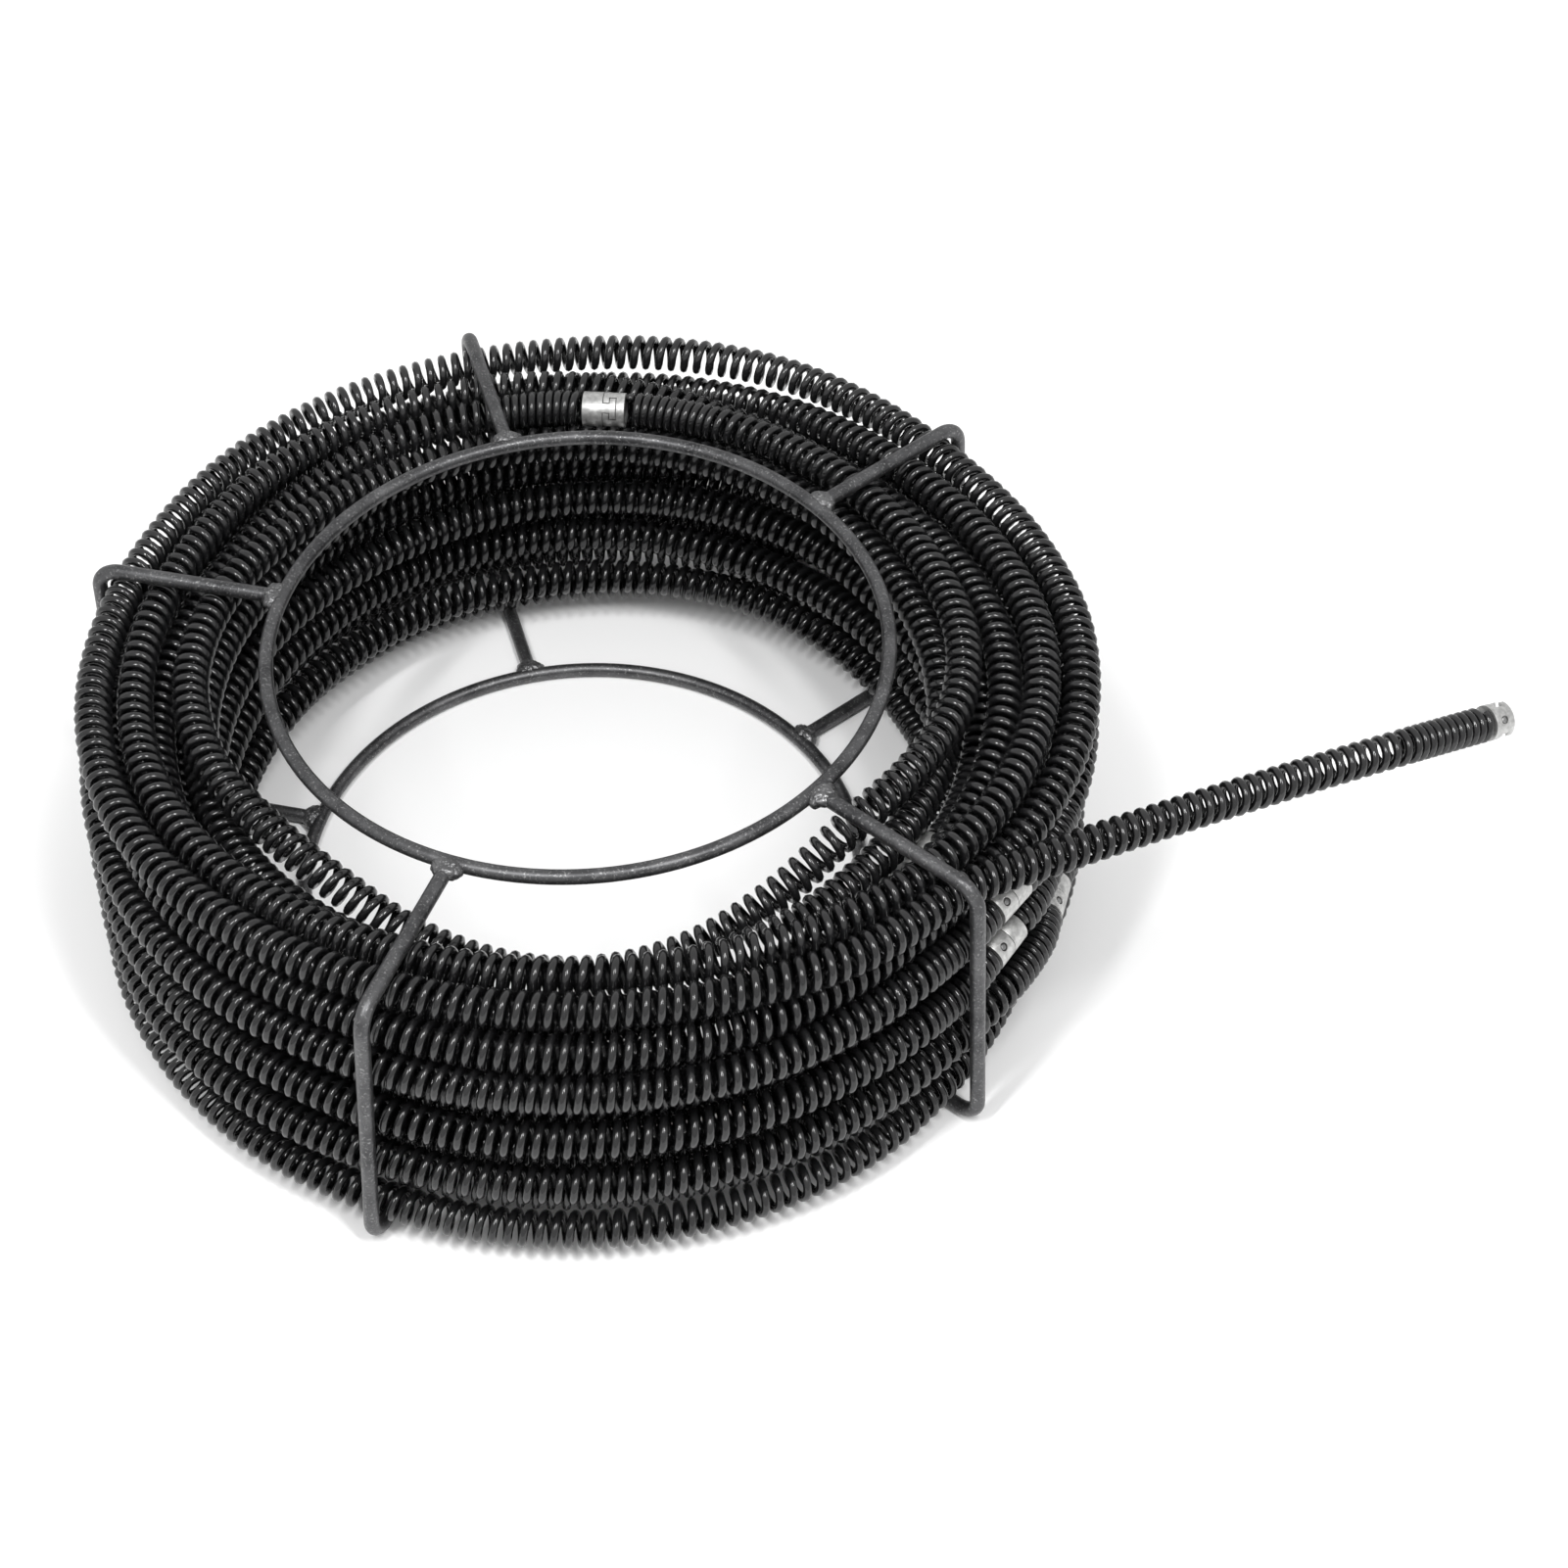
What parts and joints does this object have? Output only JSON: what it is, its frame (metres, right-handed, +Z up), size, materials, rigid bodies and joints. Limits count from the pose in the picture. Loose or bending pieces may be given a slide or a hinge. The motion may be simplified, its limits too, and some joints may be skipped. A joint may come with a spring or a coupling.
{
  "type": "drain auger",
  "caption": "Sectional spring cable for clearing drains, wound in a round carrier of welded steel rod, with its free end and coupling reaching out at one side.",
  "frame": {"origin": "middle of the bounding box's floor; the carrier's axis stands at x -0.0888 m, y -0.0014 m", "axes": "+X across the carrier towards the side where the free end reaches out, +Z up along the carrier's axis, which is a coil's flat way down"},
  "size_m": [0.606, 0.4296, 0.146],
  "materials": {
    "rod_steel": "dark satin mill steel with weld spatter",
    "cable_spring": "black oiled spring steel, glossy",
    "coupling": "pale matte plated steel",
    "detent_pin": "dull steel"
  },
  "bodies": {
    "carrier": {"bottom_ring": "rod_steel", "carrier_arm_a": "rod_steel", "carrier_arm_b": "rod_steel", "carrier_arm_c": "rod_steel", "carrier_arm_d": "rod_steel", "carrier_arm_e": "rod_steel", "top_ring": "rod_steel"},
    "coil": {"cable_section_01": "cable_spring", "cable_section_02": "cable_spring", "cable_section_03": "cable_spring", "cable_section_04": "cable_spring", "cable_section_05": "cable_spring", "cable_section_06": "cable_spring", "cable_section_07": "cable_spring", "cable_section_08": "cable_spring", "cable_section_09": "cable_spring", "cable_section_10": "cable_spring", "cable_section_11": "cable_spring", "cable_section_12": "cable_spring", "cable_section_13": "cable_spring", "female_coupling_01": "coupling", "female_coupling_02": "coupling", "female_coupling_03": "coupling", "female_coupling_04": "coupling", "female_coupling_05": "coupling", "female_coupling_06": "coupling", "female_coupling_07": "coupling", "female_coupling_08": "coupling", "female_coupling_09": "coupling", "female_coupling_10": "coupling", "female_coupling_11": "coupling", "female_coupling_12": "coupling", "female_coupling_13": "coupling", "male_coupling_01": "coupling", "male_coupling_02": "coupling", "male_coupling_03": "coupling", "male_coupling_04": "coupling", "male_coupling_05": "coupling", "male_coupling_06": "coupling", "male_coupling_07": "coupling", "male_coupling_08": "coupling", "male_coupling_09": "coupling", "male_coupling_10": "coupling", "male_coupling_11": "coupling", "male_coupling_12": "coupling", "male_coupling_13": "coupling"},
    "detent_pin_01": {"detent_pin_01": "detent_pin"},
    "detent_pin_02": {"detent_pin_02": "detent_pin"},
    "detent_pin_03": {"detent_pin_03": "detent_pin"},
    "detent_pin_04": {"detent_pin_04": "detent_pin"},
    "detent_pin_05": {"detent_pin_05": "detent_pin"},
    "detent_pin_06": {"detent_pin_06": "detent_pin"},
    "detent_pin_07": {"detent_pin_07": "detent_pin"},
    "detent_pin_08": {"detent_pin_08": "detent_pin"},
    "detent_pin_09": {"detent_pin_09": "detent_pin"},
    "detent_pin_10": {"detent_pin_10": "detent_pin"},
    "detent_pin_11": {"detent_pin_11": "detent_pin"},
    "detent_pin_12": {"detent_pin_12": "detent_pin"},
    "detent_pin_13": {"detent_pin_13": "detent_pin"}
  },
  "joints": [
    {"name": "coil_turn", "type": "hinge", "parent": "carrier", "child": "coil", "pos_m": [-0.08884, -0.00141, 0.0723], "axis": [0, 0, 1], "range_deg": [0, 8]},
    {"name": "press_01", "type": "slide", "parent": "coil", "child": "detent_pin_01", "axis": [-0.3985, 0.6057, -0.6887], "range_m": [0, 0.0015], "stiffness_N_per_m": 1500, "springref_m": -0.0005},
    {"name": "press_02", "type": "slide", "parent": "coil", "child": "detent_pin_02", "axis": [0.0918, -0.7011, -0.7071], "range_m": [0, 0.0015], "stiffness_N_per_m": 1500, "springref_m": -0.0005},
    {"name": "press_03", "type": "slide", "parent": "coil", "child": "detent_pin_03", "axis": [-0.1268, -0.6957, -0.7071], "range_m": [0, 0.0015], "stiffness_N_per_m": 1500, "springref_m": -0.0005},
    {"name": "press_04", "type": "slide", "parent": "coil", "child": "detent_pin_04", "axis": [-0.5156, 0.4857, -0.7059], "range_m": [0, 0.0015], "stiffness_N_per_m": 1500, "springref_m": -0.0005},
    {"name": "press_05", "type": "slide", "parent": "coil", "child": "detent_pin_05", "axis": [-0.4883, 0.5136, -0.7055], "range_m": [0, 0.0015], "stiffness_N_per_m": 1500, "springref_m": -0.0005},
    {"name": "press_06", "type": "slide", "parent": "coil", "child": "detent_pin_06", "axis": [-0.6413, -0.3059, -0.7037], "range_m": [0, 0.0015], "stiffness_N_per_m": 1500, "springref_m": -0.0005},
    {"name": "press_07", "type": "slide", "parent": "coil", "child": "detent_pin_07", "axis": [-0.6681, 0.2321, -0.7069], "range_m": [0, 0.0015], "stiffness_N_per_m": 1500, "springref_m": -0.0005},
    {"name": "press_08", "type": "slide", "parent": "coil", "child": "detent_pin_08", "axis": [-0.5101, 0.4941, -0.704], "range_m": [0, 0.0015], "stiffness_N_per_m": 1500, "springref_m": -0.0005},
    {"name": "press_09", "type": "slide", "parent": "coil", "child": "detent_pin_09", "axis": [-0.5771, -0.4086, -0.7071], "range_m": [0, 0.0015], "stiffness_N_per_m": 1500, "springref_m": -0.0005},
    {"name": "press_10", "type": "slide", "parent": "coil", "child": "detent_pin_10", "axis": [-0.7079, 0.0673, -0.7031], "range_m": [0, 0.0015], "stiffness_N_per_m": 1500, "springref_m": -0.0005},
    {"name": "press_11", "type": "slide", "parent": "coil", "child": "detent_pin_11", "axis": [-0.6673, 0.2344, -0.7069], "range_m": [0, 0.0015], "stiffness_N_per_m": 1500, "springref_m": -0.0005},
    {"name": "press_12", "type": "slide", "parent": "coil", "child": "detent_pin_12", "axis": [-0.4407, -0.553, -0.7071], "range_m": [0, 0.0015], "stiffness_N_per_m": 1500, "springref_m": -0.0005},
    {"name": "press_13", "type": "slide", "parent": "coil", "child": "detent_pin_13", "axis": [-0.6884, -0.1617, -0.7071], "range_m": [0, 0.0015], "stiffness_N_per_m": 1500, "springref_m": -0.0005}
  ]
}
